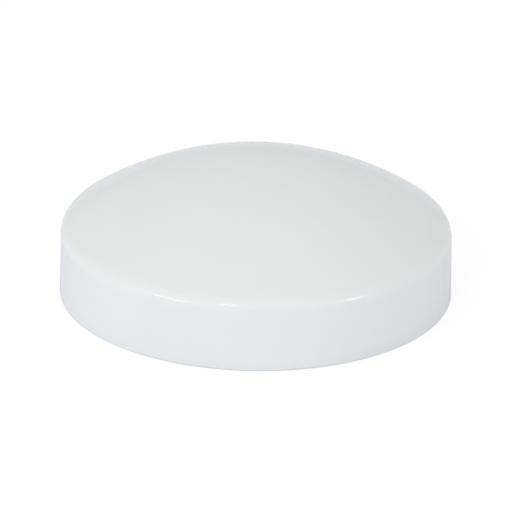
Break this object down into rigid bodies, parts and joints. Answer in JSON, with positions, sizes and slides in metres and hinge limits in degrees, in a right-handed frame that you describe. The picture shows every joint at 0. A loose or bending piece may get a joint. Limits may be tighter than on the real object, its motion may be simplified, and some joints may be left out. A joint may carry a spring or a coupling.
{
  "type": "screw cover cap",
  "caption": "Domed round plastic cap with a short skirt that snaps over a base washer to hide a screw's head.",
  "frame": {"origin": "middle of the cap's mouth, in the plane of the rim", "axes": "+Z along the cap's axis, from the open mouth up to the crown"},
  "size_m": [0.0174, 0.0174, 0.006],
  "materials": {
    "milky_plastic": "smooth as moulded, milky white with a faint cool tint, slightly translucent"
  },
  "bodies": {
    "root": {"cap_shell": "milky_plastic"}
  },
  "joints": []
}
